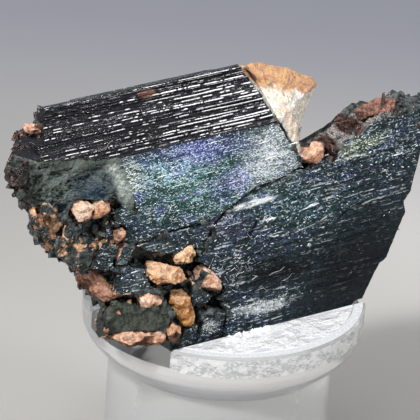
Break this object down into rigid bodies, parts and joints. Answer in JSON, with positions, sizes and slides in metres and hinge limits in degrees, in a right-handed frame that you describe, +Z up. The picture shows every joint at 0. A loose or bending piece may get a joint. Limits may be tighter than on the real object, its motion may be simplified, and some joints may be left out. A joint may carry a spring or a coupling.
{
  "type": "vivianite crystal cluster",
  "caption": "Dark blue-green vivianite crystals grown together, with iron-stained clay in their broken corner, standing in the slot of a round clear acrylic stand.",
  "frame": {"origin": "centre of the acrylic stand's flat base", "axes": "+Z up along the stand's axis, +X along the long axis of the crystals, and their broad glittering faces look towards -Y"},
  "size_m": [0.0486, 0.0282, 0.046],
  "materials": {
    "crystal": "vitreous dark blue-green crystal with a fine glittering surface",
    "clay_wedge": "dry cream and orange earthy crust with dark green grains",
    "clay_pale": "matte dry cream-pink clay",
    "clay_orange": "matte dry orange limonite clay",
    "clay_brown": "matte red-brown clay",
    "acrylic": "clear polished acrylic with a saw-cut frosted top"
  },
  "bodies": {
    "root": {"crystal_cluster": "crystal", "end_clay_wedge": "clay_wedge", "facet_clay_left": "clay_pale", "facet_clay_right": "clay_pale", "crevice_clay": "clay_orange", "left_seam_clay": "clay_orange", "middle_clay": "clay_orange", "cap_clay": "clay_orange", "crack_clay": "clay_pale", "upright_clay": "clay_orange", "seam_clay": "clay_pale", "bottom_clay_slab": "clay_pale", "bottom_clay_lump": "clay_orange", "side_clay_plate": "clay_brown", "notch_clay": "clay_brown", "ridge_clay": "clay_brown", "end_spot_clay": "clay_pale", "acrylic_stand": "acrylic"}
  },
  "joints": []
}
